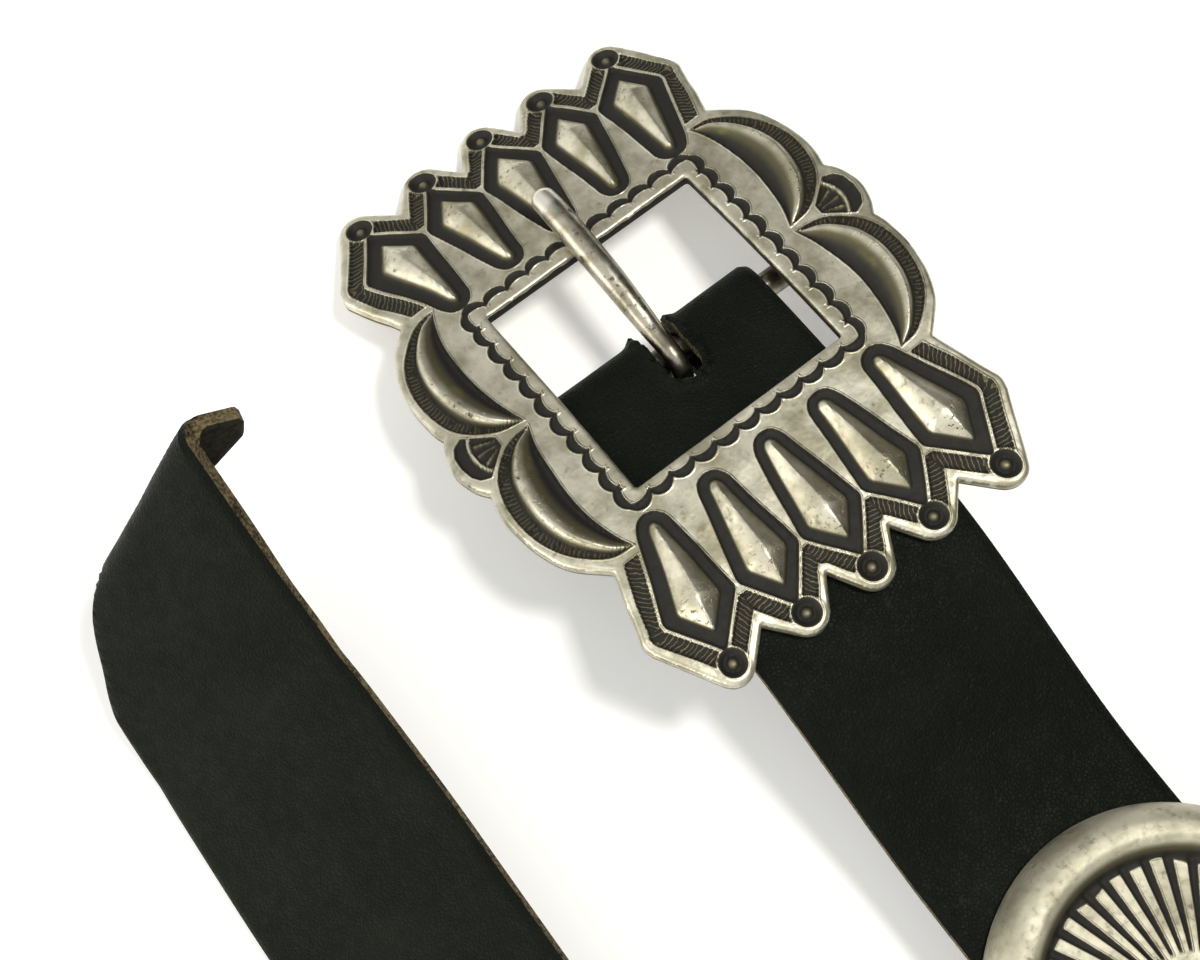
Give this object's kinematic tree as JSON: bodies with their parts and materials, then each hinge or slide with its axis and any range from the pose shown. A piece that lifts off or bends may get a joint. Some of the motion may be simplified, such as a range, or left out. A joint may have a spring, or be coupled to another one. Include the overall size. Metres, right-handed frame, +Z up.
{
  "type": "concho belt",
  "caption": "Leather strap belt lying in a loop, with a stamped silver frame buckle, its prong and domed oval conchos along the strap.",
  "frame": {"origin": "middle of the footprint, on the surface the belt lies on", "axes": "+Z up, +Y from the arm of the strap towards the buckle, +X across the buckle towards its right end of the bar"},
  "size_m": [0.1746, 0.4738, 0.0621],
  "materials": {
    "buckle_silver": "stamped and raised silver sheet, worn bright on the high places, dark oxide in the grooves",
    "wire_silver": "drawn silver wire, dull with a few dark spots",
    "black_leather": "black dyed grain leather with a raw brown edge and a grey-brown flesh side",
    "concho_silver": "domed and stamped silver sheet, dark oxide between the flutes"
  },
  "bodies": {
    "belt": {"buckle_frame": "buckle_silver", "strap": "black_leather", "concho_1": "concho_silver", "concho_2": "concho_silver", "concho_3": "concho_silver", "concho_4": "concho_silver", "concho_5": "concho_silver", "concho_6": "concho_silver"},
    "prong": {"prong": "wire_silver"}
  },
  "joints": [
    {"name": "prong_pivot", "type": "hinge", "parent": "belt", "child": "prong", "pos_m": [0.04575, 0.18215, 0.01519], "axis": [1, 0, 0], "range_deg": [0, 90]}
  ]
}
